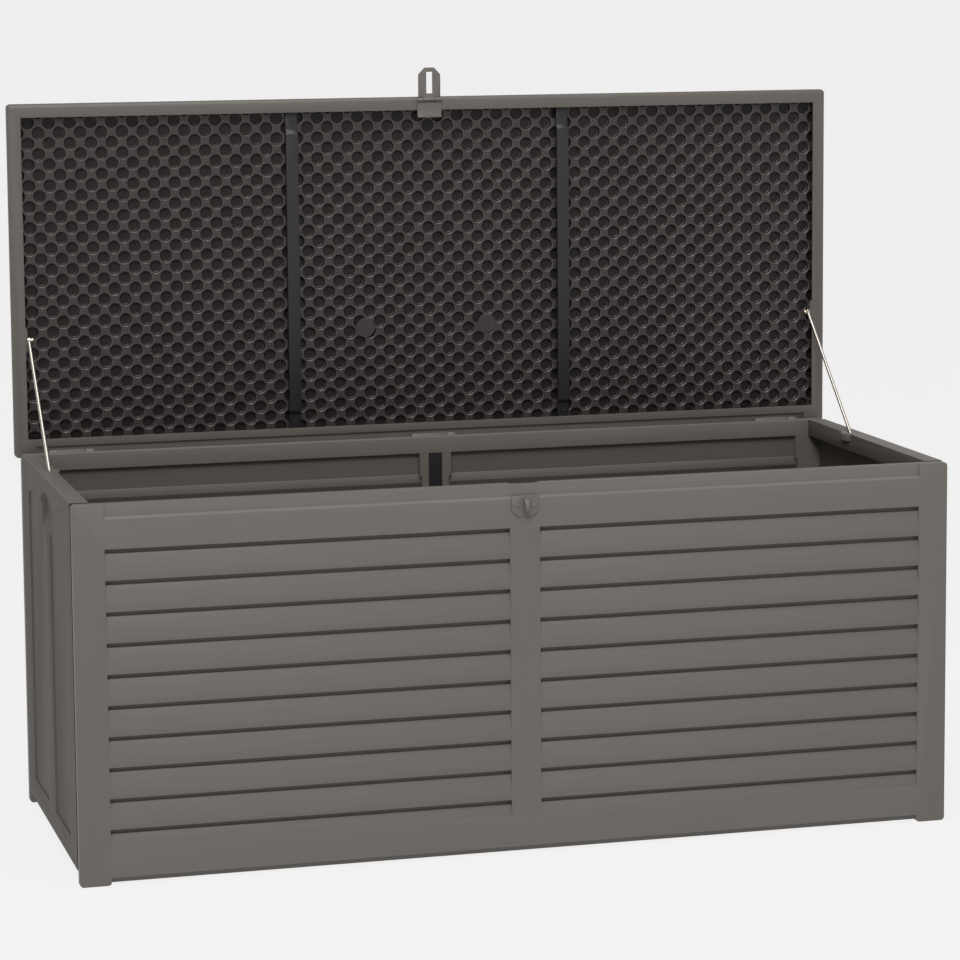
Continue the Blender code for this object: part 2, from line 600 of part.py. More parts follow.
def stay(frame, hinge, name, side):
    """Stud, rod and stop of one stay, and its guide in the side rim. The rod is drawn in its open place."""
    axis = (0, AXIS_Y, AXIS_Z)
    inner_face = STAY_INSET + EYE_T / 2
    stud = bmesh.new()
    ends = sorted((side_x(side, STAY_INSET - EYE_T / 2), side_x(side, inner_face + GAP)))
    head = sorted((side_x(side, inner_face + GAP), side_x(side, inner_face + GAP + STUD_HEAD_T)))
    shank, cap = circle((STUD_Y, STUD_Z), STUD_R, 12), circle((STUD_Y, STUD_Z), STUD_HEAD_R, 12)
    order = (ends[0], ends[1], head[1]) if side < 0 else (ends[1], ends[0], head[0])
    rings = [(order[0], shank), (order[1], shank), (order[1], cap), (order[2], cap)]
    join_loft(stud, [[(x, y, z) for y, z in ring] for x, ring in rings])
    smooth(add_object(f"stay_stud_{name}", stud, STEEL, hinge, axis))

    top = (side_x(side, STAY_INSET), AXIS_Y + STUD_Z - AXIS_Z, AXIS_Z + STUD_FORWARD)
    pivot = empty(f"stay_pivot_{name}", top, frame, turn=-ROD_LEAN)
    rod, bore, stop = bmesh.new(), bmesh.new(), bmesh.new()
    length = STOP_FROM_STUD + STOP_LENGTH
    join_prism(rod, circle((0, 0), STAY_ROD_R, 12), "Z", -length, -EYE_R * 0.8)
    rod_object = add_object(f"stay_rod_{name}", rod, STEEL, pivot)
    eye = bmesh.new()
    join_prism(eye, circle((0, 0), EYE_R, 16), "X", -EYE_T / 2, EYE_T / 2)
    add_helper(rod_object, "eye", "UNION", eye)
    join_prism(bore, circle((0, 0), STUD_R + STUD_CLEARANCE, 12), "X", -EYE_T, EYE_T)
    add_helper(rod_object, "bore", "DIFFERENCE", bore)
    smooth(rod_object)
    near, far = -STOP_FROM_STUD, -length - 0.003
    join_prism(stop, circle((0, 0), STOP_R, 16), "Z", near, far)
    socket = bmesh.new()
    join_prism(socket, circle((0, 0), STAY_ROD_R + GAP, 16), "Z", near + OVER, -length - GAP)
    stop_object = add_object(f"stay_stop_{name}", stop, RESIN, pivot)
    add_helper(stop_object, "socket", "DIFFERENCE", socket)
    smooth(stop_object)

    block_u = STAY_INSET - STAY_ROD_R - ROD_SLOT_CLEARANCE - GUIDE_WALL
    hood_u = RIM_W + GUIDE_HOOD
    y0, y1 = STUD_Y - GUIDE_FRONT, STUD_Y + GUIDE_REAR
    low = BOX_H - GUIDE_H
    plan = [(side_x(side, block_u), y0), (side_x(side, RIM_W), y0)]
    for i in range(1, 8):
        plan.append((side_x(side, RIM_W + GUIDE_HOOD * math.sin(math.pi * i / 8)), y0 + (y1 - y0) * i / 8))
    plan += [(side_x(side, RIM_W), y1), (side_x(side, block_u), y1)]
    guide, slot = bmesh.new(), bmesh.new()
    join_prism(guide, plan, "Z", low, BOX_H)
    guide_object = add_object(f"stay_guide_{name}", guide, RESIN, frame)
    half = STAY_ROD_R + ROD_SLOT_CLEARANCE
    back = STUD_Y + half + 0.0003
    over, under = BOX_H + OVER / 2, low - OVER / 2
    rod_front = STUD_Y - half / math.cos(ROD_LEAN)
    front_over, front_under = (rod_front + (z - STUD_Z) * math.tan(ROD_LEAN) for z in (over, under))
    fan = [(front_over, over), (back, over), (back, under), (front_under, under)]
    join_prism(slot, fan, "X", side_x(side, STAY_INSET) - half, side_x(side, STAY_INSET) + half)
    add_helper(guide_object, "slot", "DIFFERENCE", slot)


def hasp(frame, hinge):
    axis = (0, AXIS_Y, AXIS_Z)
    plate, ends = bmesh.new(), bmesh.new()
    top, low = LID_Z - HASP_PLATE_GAP, LID_Z - HASP_PLATE_GAP - HASP_PLATE_T
    back = HASP_PLATE_BACK
    side_view = [(HASP_Y, top), (HASP_Y, low), (back - 0.002, low), (back - 0.002, low - HASP_LIP + 0.001)]
    side_view += [(back, low - HASP_LIP + 0.001), (back, top)]
    front = HASP_Y + HASP_KNUCKLE_R + 0.0006
    side_view[0], side_view[1] = (front, top), (front, low)
    join_prism(plate, side_view, "X", -HASP_W / 2, HASP_W / 2)
    plate_object = add_object("hasp_plate", plate, RESIN, hinge, axis)
    barrel = [(front + 0.002, top), (front + 0.002, low)]
    barrel += arc((HASP_Y, HASP_Z), HASP_KNUCKLE_R, -30, -270, 10)
    inner = HASP_KNUCKLE_W / 2 + KNUCKLE_GAP
    bore = bmesh.new()
    for side in (-1, 1):
        x0, x1 = sorted((side * inner, side * HASP_W / 2))
        join_prism(ends, barrel, "X", x0, x1)
    join_prism(bore, circle((HASP_Y, HASP_Z), HASP_PIN_R + PIN_CLEARANCE, 10), "X", -HASP_W, HASP_W)
    add_helper(plate_object, "knuckles", "UNION", ends, axis)
    add_helper(plate_object, "bore", "DIFFERENCE", bore, axis)
    pin = bmesh.new()
    join_prism(pin, circle((HASP_Y, HASP_Z), HASP_PIN_R, 10), "X", -HASP_W / 2, HASP_W / 2)
    smooth(add_object("hasp_pin", pin, STEEL, hinge, axis))

    place = (0, HASP_Y - AXIS_Y, HASP_Z - AXIS_Z)
    swing = empty("hasp_hinge", place, hinge)
    flap, barrel_mesh, slot, flap_bore = (bmesh.new() for _ in range(4))
    half, tip = FLAP_W / 2, FLAP_TIP_W / 2
    neck = HASP_KNUCKLE_W / 2
    shoulder = 0.0046
    stem = neck - 0.0005
    plan = [(-stem, -0.0005), (-stem, -shoulder), (-half, -shoulder)]
    plan += [(-half, -FLAP_SHOULDER), (-tip, -FLAP_LENGTH)]
    plan += [(-x, y) for x, y in reversed(plan)]
    join_prism(flap, plan, "Z", FLAP_BACK, FLAP_BACK + FLAP_T)
    flap_object = add_object("hasp_flap", flap, RESIN, swing)
    join_prism(barrel_mesh, circle((0, 0), HASP_KNUCKLE_R, 12), "X", -neck, neck)
    join_box(slot, (-FLAP_SLOT_W / 2, -FLAP_SLOT_END, -OVER), (FLAP_SLOT_W / 2, -FLAP_SLOT_START, OVER))
    join_prism(flap_bore, circle((0, 0), HASP_PIN_R + PIN_CLEARANCE, 10), "X", -HASP_W, HASP_W)
    add_helper(flap_object, "barrel", "UNION", barrel_mesh)
    add_helper(flap_object, "slot", "DIFFERENCE", slot)
    add_helper(flap_object, "bore", "DIFFERENCE", flap_bore)


def staple(frame):
    plate, eye, hole = (bmesh.new() for _ in range(3))
    half, low = STAPLE_W / 2, STAPLE_TOP - STAPLE_H
    outline = [(-half, STAPLE_TOP), (-half, low + STAPLE_CHAMFER), (-half + STAPLE_CHAMFER, low)]
    outline += [(half - STAPLE_CHAMFER, low), (half, low + STAPLE_CHAMFER), (half, STAPLE_TOP)]
    join_prism(plate, outline, "Y", -GAP - STAPLE_T, -GAP)
    plate_object = add_object("staple", plate, RESIN, frame)
    middle = STAPLE_TOP - 0.004 - STAPLE_EYE_H / 2
    inside, half_h = -GAP - STAPLE_T / 2, STAPLE_EYE_H / 2
    loop = arc((STAPLE_FRONT + half_h, middle), half_h, 90, 270, 10)
    loop = [(inside, middle + half_h)] + loop + [(inside, middle - half_h)]
    join_prism(eye, loop, "X", -STAPLE_EYE_W / 2, STAPLE_EYE_W / 2)
    hole_y = STAPLE_FRONT + STAPLE_HOLE_WALL + STAPLE_HOLE_R
    join_prism(hole, circle((hole_y, middle), STAPLE_HOLE_R, 16), "X", -STAPLE_W, STAPLE_W)
    add_helper(plate_object, "eye", "UNION", eye)
    add_helper(plate_object, "hole", "DIFFERENCE", hole)
    for name, x in (("left", -SCREW_X), ("right", SCREW_X)):
        screw(f"staple_screw_{name}", frame, (x, middle + 0.002), "Y", STAPLE_SCREW_FACE - SCREW_HEAD_T)


def build():
    for old in list(bpy.data.objects):
        bpy.data.objects.remove(old)
    frame = empty("box_frame", (0, -MIDDLE_Y, 0))
    hinge = empty("lid_hinge", (0, AXIS_Y, AXIS_Z), frame, turn=-LID_OPEN)
    front_panel(frame)
    rear_panel(frame)
    for name, side in (("left", -1), ("right", 1)):
        side_panel(frame, f"{name}_side_panel", side)
        stay(frame, hinge, name, side)
    floor_panel(frame)
    brace(frame, "front_brace", rear=False)
    brace(frame, "rear_brace", rear=True)
    hinge_pins(frame)
    staple(frame)
    lid_panel(hinge)
    lid_liner(hinge)
    lid_bars(hinge)
    hasp(frame, hinge)


build()
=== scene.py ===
"""The finished deck storage box: rounded mouldings, lapped boards, a dimpled lid liner and metal fittings."""

import json
import math

import bpy
from mathutils import Matrix, Vector

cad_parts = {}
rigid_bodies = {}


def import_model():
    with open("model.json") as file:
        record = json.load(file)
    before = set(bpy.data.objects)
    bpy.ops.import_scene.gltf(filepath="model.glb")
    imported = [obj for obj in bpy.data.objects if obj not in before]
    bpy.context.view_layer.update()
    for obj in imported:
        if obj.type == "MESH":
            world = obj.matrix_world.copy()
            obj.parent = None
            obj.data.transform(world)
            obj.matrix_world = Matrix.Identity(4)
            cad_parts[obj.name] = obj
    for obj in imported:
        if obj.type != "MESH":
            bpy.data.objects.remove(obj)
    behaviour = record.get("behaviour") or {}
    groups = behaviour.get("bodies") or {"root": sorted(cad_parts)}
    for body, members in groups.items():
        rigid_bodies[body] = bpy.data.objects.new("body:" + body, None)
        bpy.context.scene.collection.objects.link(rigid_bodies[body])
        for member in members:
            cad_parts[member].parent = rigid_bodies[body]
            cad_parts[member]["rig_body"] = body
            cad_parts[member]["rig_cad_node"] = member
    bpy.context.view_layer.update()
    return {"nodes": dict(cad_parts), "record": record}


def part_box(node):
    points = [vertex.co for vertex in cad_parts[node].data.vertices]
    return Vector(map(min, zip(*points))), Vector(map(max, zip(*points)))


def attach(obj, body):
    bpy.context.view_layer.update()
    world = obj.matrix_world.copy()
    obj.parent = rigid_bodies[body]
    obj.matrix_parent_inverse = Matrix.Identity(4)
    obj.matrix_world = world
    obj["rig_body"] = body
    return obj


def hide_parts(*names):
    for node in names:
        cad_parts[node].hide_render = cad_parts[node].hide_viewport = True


bpy.ops.object.select_all(action="SELECT")
bpy.ops.object.delete()
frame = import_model()

# Sizes that the CAD pieces share, in metres
PANEL_T = 0.018
SKIN_T = 0.004
STILE_W = 0.050
BAND_H = 0.021
BAND_DEPTH = 0.005
HEADER_H = 0.051
BOARDS = 10
GROOVE_H = 0.0064
GROOVE_DEPTH = 0.008
LAP_DEPTH = 0.0045
PLINTH_TOP = 0.063
PLINTH_BOTTOM = 0.012
TUCK_DEPTH = 0.010
TUCK_LIP = 0.004
SOLE_Z = 0.003
FOOT_CHAMFER = 0.004
FLANGE_H = 0.030
LEDGE_DEPTH = 0.012
LEDGE_T = 0.010
LEDGE_ROOT = 0.003
FLOOR_Z = 0.024
BAY_SKIN = 0.009
LOWEST_BOARD_H = 0.020
BRACE_HALF = 0.0118
BRACE_POCKET = 0.0035
HASP_NOTCH_HALF = 0.0235
HASP_NOTCH_DEPTH = 0.002
HINGE_AXIS = (0.0, 0.2880, 0.6063)
HINGE_X = 0.6425
LID_KNUCKLE_W = 0.0486
BODY_KNUCKLE_W = 0.014
KNUCKLE_R = 0.005
KNUCKLE_GAP = 0.0005
PIN_BORE_R = 0.0023
GAP = 0.0003

# Sizes that only the finished pieces have
BAND_SLOPE = 0.003
CORNER_R = 0.006
FRAME_EDGE_R = 0.0016
BOARD_EDGE_R = 0.0009
BOARD_TUCK = 0.004
BOARD_FOOT = 0.006
GROOVE_SHOWN = 0.0085
GROOVE_BACK = 0.004
LEAST_RISE = 0.02
SEAM_W = 0.006
SEAM_DEPTH = 0.003
TOP_SEAM_DEPTH = 0.0016
TOP_SEAM_REACH = 0.030
LID_CORNER_R = 0.007
LINER_PITCH = 0.036
LINER_COLUMNS = 43
LINER_ROWS = 19
DIMPLE_R = 0.0110
DIMPLE_FLOOR_R = 0.0082
DIMPLE_FOOT_W = 0.0012
DIMPLE_DEPTH = 0.0062
WALL_SHARE = 0.85
LIP_W = 0.0011
LIP_H = 0.0010
SHEET_START = 1.05
BOSS_R = 0.017
BOSS_T = 0.007
BOSS_SETBACK = 0.0030
BOSS_FACE_INSET = 0.0035
BOSS_X = (-0.116, 0.105)
BOSS_Z = 0.801

# Depth of a board's outer face, and how far that is below the groove over it
BOARD_CURVE = ((0.0004, 0.030), (0.0010, 0.019), (0.0021, 0.010), (LAP_DEPTH, 0.0012))
# The same for its inner face
BACK_CURVE = ((0.0010, 0.019), (LAP_DEPTH, 0.010), (GROOVE_DEPTH, GROOVE_BACK))

# How far a cutter reaches past a face, and how deep it goes when it cuts right through
PAST = 0.01
THROUGH = 0.05
# How near counts as at the same place
NEAR = 0.0002


# ---------------------------------------------------------------- working by hand

def deselect():
    if bpy.context.object and bpy.context.object.mode != "OBJECT":
        bpy.ops.object.mode_set(mode="OBJECT")
    bpy.ops.object.select_all(action="DESELECT")


def only(piece):
    deselect()
    piece.select_set(True)
    bpy.context.view_layer.objects.active = piece


def edit(piece, kind="VERT"):
    only(piece)
    bpy.ops.object.mode_set(mode="EDIT")
    bpy.ops.mesh.select_mode(type=kind)
    bpy.ops.mesh.select_all(action="SELECT")


def done(piece):
    bpy.ops.object.mode_set(mode="OBJECT")
    only(piece)
    bpy.ops.object.transform_apply(location=True, rotation=True, scale=True)
    return piece


def block(name, low, high):
    """A box between two corners."""
    deselect()
    low, high = Vector(low), Vector(high)
    bpy.ops.mesh.primitive_cube_add(size=1.0, location=(low + high) / 2, scale=high - low)
    piece = bpy.context.object
    piece.name = name
    return done(piece)


def drawn(name, points, along):
    """A closed outline drawn point by point, filled, and pulled out along a vector."""
    deselect()
    bpy.ops.mesh.primitive_plane_add(size=0.01, location=points[0])
    piece = bpy.context.object
    piece.name = name
    edit(piece)
    bpy.ops.mesh.merge(type="CENTER")
    for here, there in zip(points, points[1:]):
        bpy.ops.mesh.extrude_region_move(TRANSFORM_OT_translate={"value": Vector(there) - Vector(here)})
    bpy.ops.mesh.select_all(action="SELECT")
    bpy.ops.mesh.edge_face_add()
    bpy.ops.mesh.extrude_region_move(TRANSFORM_OT_translate={"value": along})
    bpy.ops.mesh.select_all(action="SELECT")
    bpy.ops.mesh.normals_make_consistent(inside=False)
    return done(piece)


def use(piece, kind, **settings):
    """Adds a modifier, sets it and applies it."""
    only(piece)
    modifier = piece.modifiers.new(kind.lower(), kind)
    for key, value in settings.items():
        setattr(modifier, key, value)
    bpy.ops.object.modifier_apply(modifier=modifier.name)


def carve(piece, tool, operation="DIFFERENCE"):
    """Cuts or joins one body with another, which is used up."""
    use(piece, "BOOLEAN", object=tool, operation=operation, solver="EXACT")
    bpy.data.objects.remove(tool)


def round_edges(piece, radius, segments=2, angle=35):
    """Rounds every sharp edge, and shades the piece smooth between them."""
    edit(piece)
    bpy.ops.mesh.remove_doubles(threshold=0.00004)
    bpy.ops.mesh.dissolve_limited(angle_limit=math.radians(1.0))
    done(piece)
    use(piece, "BEVEL", width=radius, segments=segments, limit_method="ANGLE",
        angle_limit=math.radians(angle))
    bpy.ops.object.shade_smooth_by_angle(angle=math.radians(40))


def joined(name, pieces):
    deselect()
    for piece in pieces:
        piece.select_set(True)
    bpy.context.view_layer.objects.active = pieces[0]
    bpy.ops.object.join()
    bpy.context.object.name = name
    return bpy.context.object


def copy_of(piece, name):
    only(piece)
    bpy.ops.object.duplicate()
    made = bpy.context.object
    made.name = name
    return made


def moulding(node, radius, finish, segments=2, corner=0.0):
    """A rounded copy of a CAD node that stands for it. corner rounds its four outermost corners first."""
    made = copy_of(frame["nodes"][node], f"{node}_finished")
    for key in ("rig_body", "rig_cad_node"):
        del made[key]
    made.data.materials.clear()
    edit(made)
    bpy.ops.mesh.customdata_custom_splitnormals_clear()
    bpy.ops.mesh.remove_doubles(threshold=0.00002)
    bpy.ops.mesh.normals_make_consistent(inside=False)
    bpy.ops.object.mode_set(mode="OBJECT")
    if corner:
        round_corners(made, corner)
    round_edges(made, radius, segments)
    made.data.materials.append(finish)
    return stand_for(made, node)


def corner_seams(piece, node):
    """The open joint at each end of a side panel: a channel down its outer face and across its rim, its faces
    near-black as painted shade of the gap.
    The top of the rim takes the long panels' board colour, without the side panels' painted shade."""
    low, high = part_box(node)
    side = 1 if low.x > 0 else -1
    outer = max(abs(low.x), abs(high.x))
    for end, away in ((low.y, 1), (high.y, -1)):
        for reach, foot in ((SEAM_DEPTH, low.z - PAST), (TOP_SEAM_REACH, high.z - TOP_SEAM_DEPTH)):
            x0, x1 = sorted((side * (outer - reach), side * (outer + PAST)))
            y0, y1 = sorted((end - away * PAST, end + away * SEAM_W))
            tool = block("cutter", (x0, y0, foot), (x1, y1, high.z + PAST))
            tool.data.materials.append(seam_shade_resin)
            use(piece, "BOOLEAN", object=tool, operation="DIFFERENCE", solver="EXACT",
                material_mode="TRANSFER")
            bpy.data.objects.remove(tool)
    piece.data.materials.append(board_resin)
    # The rim's top faces take the board colour, so they miss the side panels' painted shade.
    for face in piece.data.polygons:
        if face.normal.z > 0.5 and face.center.z > high.z - TOP_SEAM_DEPTH / 2:
            face.material_index = len(piece.data.materials) - 1
    only(piece)
    bpy.ops.object.shade_smooth_by_angle(angle=math.radians(40))


def round_corners(piece, radius):
    """Rounds the edges that run along Y at the four outermost corners."""
    low = Vector(min(v.co[i] for v in piece.data.vertices) for i in range(3))
    high = Vector(max(v.co[i] for v in piece.data.vertices) for i in range(3))
    edit(piece)
    bpy.ops.mesh.dissolve_limited(angle_limit=math.radians(1.0))
    edit(piece, "EDGE")
    bpy.ops.mesh.select_all(action="DESELECT")
    bpy.ops.object.mode_set(mode="OBJECT")

    def at_corner(co):
        return min(co.x - low.x, high.x - co.x) < NEAR and min(co.z - low.z, high.z - co.z) < NEAR

    for edge in piece.data.edges:
        edge.select = all(at_corner(piece.data.vertices[i].co) for i in edge.vertices)
    bpy.ops.object.mode_set(mode="EDIT")
    bpy.ops.mesh.bevel(offset=radius, offset_type="OFFSET", segments=5, affect="EDGES")
    done(piece)


def body_of(node):
    bodies = frame["record"]["behaviour"]["bodies"]
    return next(name for name, members in bodies.items() if node in members)


def stand_for(piece, *nodes):
    """The piece replaces CAD nodes and moves with their body."""
    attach(piece, body_of(nodes[0]))
    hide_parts(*nodes)
    return piece


# ---------------------------------------------------------------- finishes

def finish(name, colour, roughness, metallic=0.0):
    """A new material and its node tree."""
    made = bpy.data.materials.new(name)
    made.use_nodes = True
    shader = made.node_tree.nodes["Principled BSDF"]
    shader.inputs["Base Color"].default_value = (*colour, 1.0)
    shader.inputs["Roughness"].default_value = roughness
    shader.inputs["Metallic"].default_value = metallic
    return made, made.node_tree, shader


def pattern(tree, scale, size=1.0, detail=4.0, roughness=0.55):
    """A noise on the object's own coordinates, stretched by a scale along each axis."""
    place = tree.nodes.new("ShaderNodeTexCoord")
    mapping = tree.nodes.new("ShaderNodeMapping")
    mapping.inputs["Scale"].default_value = scale
    noise = tree.nodes.new("ShaderNodeTexNoise")
    noise.inputs["Scale"].default_value = size
    noise.inputs["Detail"].default_value = detail
    noise.inputs["Roughness"].default_value = roughness
    tree.links.new(place.outputs["Object"], mapping.inputs["Vector"])
    tree.links.new(mapping.outputs["Vector"], noise.inputs["Vector"])
    return noise.outputs["Fac"]


def shades(tree, source, low, high, start=0.3, end=0.7):
    """Turns a pattern into a colour between two shades."""
    ramp = tree.nodes.new("ShaderNodeValToRGB")
    ramp.color_ramp.elements[0].position = start
    ramp.color_ramp.elements[1].position = end
    ramp.color_ramp.elements[0].color = (*low, 1.0)
    ramp.color_ramp.elements[1].color = (*high, 1.0)
    tree.links.new(source, ramp.inputs["Fac"])
    return ramp.outputs["Color"]


def relief(tree, source, strength, distance, under=None):
    """A bump from a pattern, on top of another bump if one is given."""
    bump = tree.nodes.new("ShaderNodeBump")
    bump.inputs["Strength"].default_value = strength
    bump.inputs["Distance"].default_value = distance
    tree.links.new(source, bump.inputs["Height"])
    if under:
        tree.links.new(under, bump.inputs["Normal"])
    return bump.outputs["Normal"]


def spread(tree, source, low, high):
    """Turns a pattern into a number between two limits."""
    span = tree.nodes.new("ShaderNodeMapRange")
    span.inputs["From Min"].default_value = 0.3
    span.inputs["From Max"].default_value = 0.7
    span.inputs["To Min"].default_value = low
    span.inputs["To Max"].default_value = high
    tree.links.new(source, span.inputs["Value"])
    return span.outputs["Result"]


def tint(colour, factor):
    return tuple(c * factor for c in colour)


def grained_resin(name, colour, grain, roughness=0.5, gloss=0.32):
    """Moulded resin with a faint wood grain that runs along the axis with the smallest scale."""
    made, tree, shader = finish(name, colour, roughness)
    shader.inputs["Specular IOR Level"].default_value = gloss
    streaks = pattern(tree, grain, 1.0, 6.0, 0.6)
    pebble = pattern(tree, (1, 1, 1), 900.0, 2.0)
    colours = shades(tree, streaks, tint(colour, 0.95), tint(colour, 1.05))
    tree.links.new(colours, shader.inputs["Base Color"])
    tree.links.new(spread(tree, streaks, roughness - 0.05, roughness + 0.08), shader.inputs["Roughness"])
    fine = relief(tree, pebble, 0.12, 0.0002)
    tree.links.new(relief(tree, streaks, 0.18, 0.0004, fine), shader.inputs["Normal"])
    return made


def liner_resin(name, colour, gloss=0.45):
    """Smooth dark resin with a faint cloud in it."""
    made, tree, shader = finish(name, colour, 0.38)
    shader.inputs["Specular IOR Level"].default_value = gloss
    cloud = pattern(tree, (1, 1, 1), 26.0, 3.0)
    tree.links.new(shades(tree, cloud, tint(colour, 0.85), tint(colour, 1.2)), shader.inputs["Base Color"])
    fine = relief(tree, pattern(tree, (1, 1, 1), 700.0, 2.0), 0.1, 0.0002)
    tree.links.new(fine, shader.inputs["Normal"])
    return made


def drawn_steel(name, colour, roughness, along):
    """Steel with faint marks along its length."""
    made, tree, shader = finish(name, colour, roughness, 1.0)
    marks = pattern(tree, along, 1.0, 3.0)
    tree.links.new(spread(tree, marks, roughness - 0.06, roughness + 0.1), shader.inputs["Roughness"])
    tree.links.new(relief(tree, marks, 0.05, 0.0001), shader.inputs["Normal"])
    return made


def powder_coat(name, colour):
    """Black paint with a fine orange peel."""
    made, tree, shader = finish(name, colour, 0.4)
    shader.inputs["Specular IOR Level"].default_value = 0.4
    peel = relief(tree, pattern(tree, (1, 1, 1), 1400.0, 2.0), 0.25, 0.0002)
    tree.links.new(peel, shader.inputs["Normal"])
    return made


RESIN = (0.121, 0.108, 0.0965)
LEVEL_GRAIN = (5.0, 60.0, 190.0)
EVEN_MARKS = (200.0, 200.0, 200.0)
board_resin = grained_resin("board_resin", RESIN, LEVEL_GRAIN)
stile_resin = grained_resin("stile_resin", tint(RESIN, 0.97), (150.0, 60.0, 5.0))
# The side panels' resin is a darker copy of the same resin: painted shade for panels that face away from the
# light.
side_shaded_resin = grained_resin("side_shaded_resin", tint(RESIN, 0.73), (60.0, 110.0, 5.0), 0.62, 0.12)
# The lid panel's resin is a darker copy of the same resin: painted shade for the lid lying farther from the
# lamps.
lid_shaded_resin = grained_resin("lid_shaded_resin", tint(RESIN, 0.79), (6.0, 90.0, 120.0), 0.46)
shadow_resin = grained_resin("shadow_resin", tint(RESIN, 0.72), LEVEL_GRAIN, 0.7)
# Near-black painted shade for the open joints at the ends of the side panels.
seam_shade_resin = grained_resin("seam_shade_resin", tint(RESIN, 0.22), LEVEL_GRAIN, 0.8, 0.1)
fitting_resin = grained_resin("fitting_resin", tint(RESIN, 0.95), (40.0, 40.0, 40.0), 0.42)
dark_resin = liner_resin("dark_resin", (0.0245, 0.0192, 0.0182))
# Painted shade for the cup floors: a darker copy of the liner resin.
cup_shade_resin = liner_resin("cup_shade_resin", (0.0135, 0.0104, 0.0098), 0.18)
# Painted highlight for the cup lips: a lighter, glossier copy of the liner resin.
lip_highlight_resin = liner_resin("lip_highlight_resin", (0.062, 0.050, 0.047), 0.6)
bright_steel = drawn_steel("bright_steel", (0.70, 0.68, 0.65), 0.25, (400.0, 60.0, 60.0))
rod_steel = drawn_steel("rod_steel", (0.46, 0.42, 0.375), 0.34, (60.0, 60.0, 400.0))
brass_plate = drawn_steel("brass_plate", (0.72, 0.60, 0.42), 0.25, EVEN_MARKS)
black_coat = powder_coat("black_coat", (0.013, 0.0115, 0.0135))
painted_steel = drawn_steel("painted_steel", (0.20, 0.185, 0.17), 0.38, EVEN_MARKS)


# ---------------------------------------------------------------- long panels

front_low, front_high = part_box("front_panel")
HALF_W = front_high.x
INNER = HALF_W - STILE_W
RIM_Z = front_high.z
FRONT_Y = front_low.y
REAR_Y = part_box("left_side_panel")[1].y + PANEL_T + GAP
FIELD_TOP = RIM_Z - BAND_H - HEADER_H
BOARD_PITCH = (FIELD_TOP - PLINTH_TOP - GROOVE_H - LOWEST_BOARD_H) / (BOARDS - 1)


def groove_heights():
    """Middles of the grooves, the lowest first."""
    return [FIELD_TOP - GROOVE_H / 2 - BOARD_PITCH * i for i in reversed(range(BOARDS))]


def lapped_outline(depth_of):
    """Section of the lapped boards, outer face up and inner face down. depth_of turns a depth into a Y."""
    flush = BOARD_CURVE[0][0]
    start = PLINTH_TOP - BOARD_FOOT
    outer, inner = [(0.001, start)], [(0.0045, start)]
    for middle in groove_heights():
        low, high = middle - GROOVE_H / 2, middle + GROOVE_H / 2
        outer += [(depth, low - drop) for depth, drop in BOARD_CURVE]
        outer += [(GROOVE_SHOWN, low), (GROOVE_SHOWN, high), (flush, high)]
        inner += [(SKIN_T + depth, low - drop) for depth, drop in BACK_CURVE]
        inner += [(SKIN_T + GROOVE_DEPTH, high + GROOVE_BACK), (SKIN_T + 0.0008, high + 0.007)]
    outer[-2:] = [(GROOVE_SHOWN, FIELD_TOP + BOARD_TUCK)]
    inner[-2:] = [(SKIN_T + GROOVE_DEPTH, FIELD_TOP + BOARD_TUCK)]
    if outer[1][1] <= start + LEAST_RISE:
        del outer[1]
    return [(depth_of(d), z) for d, z in outer + inner[::-1]]


def lapped_sheet(name, start, end, depth_of):
    """The boards of one bay, between two places along X."""
    points = [(start, y, z) for y, z in lapped_outline(depth_of)]
    sheet = drawn(name, points, (end - start, 0, 0))
    round_edges(sheet, BOARD_EDGE_R, 2, 25)
    return sheet


def panel_frame(name, face_y, inward):
    """Stiles and rails of a long panel as one plate with two windows. inward is the sign of Y into it."""
    def deep(d):
        return face_y + inward * d

    def cut(x0, x1, d0, d1, z0, z1):
        y0, y1 = sorted((deep(d0), deep(d1)))
        carve(plate, block("cutter", (x0, y0, z0), (x1, y1, z1)))

    def cut_along(section):
        points = [(-INNER, deep(d), z) for d, z in section]
        carve(plate, drawn("cutter", points, (2 * INNER, 0, 0)))

    outline = [(INNER, SOLE_Z), (INNER + FOOT_CHAMFER, 0.0)]
    outline += [(HALF_W - FOOT_CHAMFER, 0.0), (HALF_W, FOOT_CHAMFER)]
    for step in range(0, 91, 15):
        turn = math.radians(step)
        outline.append((HALF_W - CORNER_R * (1 - math.cos(turn)), RIM_Z - CORNER_R * (1 - math.sin(turn))))
    outline += [(-x, z) for x, z in reversed(outline)]
    plate = drawn(name, [(x, face_y, z) for x, z in outline], (0, inward * PANEL_T, 0))
    for start, end in ((-INNER, -STILE_W / 2), (STILE_W / 2, INNER)):
        cut(start, end, -PAST, THROUGH, PLINTH_TOP, FIELD_TOP)
        cut(start + SKIN_T, end - SKIN_T, BAY_SKIN, THROUGH, FLOOR_Z, RIM_Z - FLANGE_H)
    band_foot, above = RIM_Z - BAND_H, RIM_Z + PAST
    cut_along([(-PAST, band_foot - BAND_SLOPE), (0.0, band_foot - BAND_SLOPE), (BAND_DEPTH, band_foot),
               (BAND_DEPTH, above), (-PAST, above)])
    cut(-BRACE_HALF, BRACE_HALF, BRACE_POCKET, THROUGH, FLOOR_Z, RIM_Z - FLANGE_H)
    cut_along([(-PAST, PLINTH_BOTTOM), (TUCK_LIP, PLINTH_BOTTOM), (TUCK_DEPTH, SOLE_Z - 0.0002),
               (TUCK_DEPTH, -PAST), (-PAST, -PAST)])
    y0, y1 = sorted((deep(PANEL_T - LEDGE_ROOT), deep(PANEL_T + LEDGE_DEPTH)))
    carve(plate, block("ledge", (-INNER, y0, FLOOR_Z - LEDGE_T), (INNER, y1, FLOOR_Z)), "UNION")
    return plate


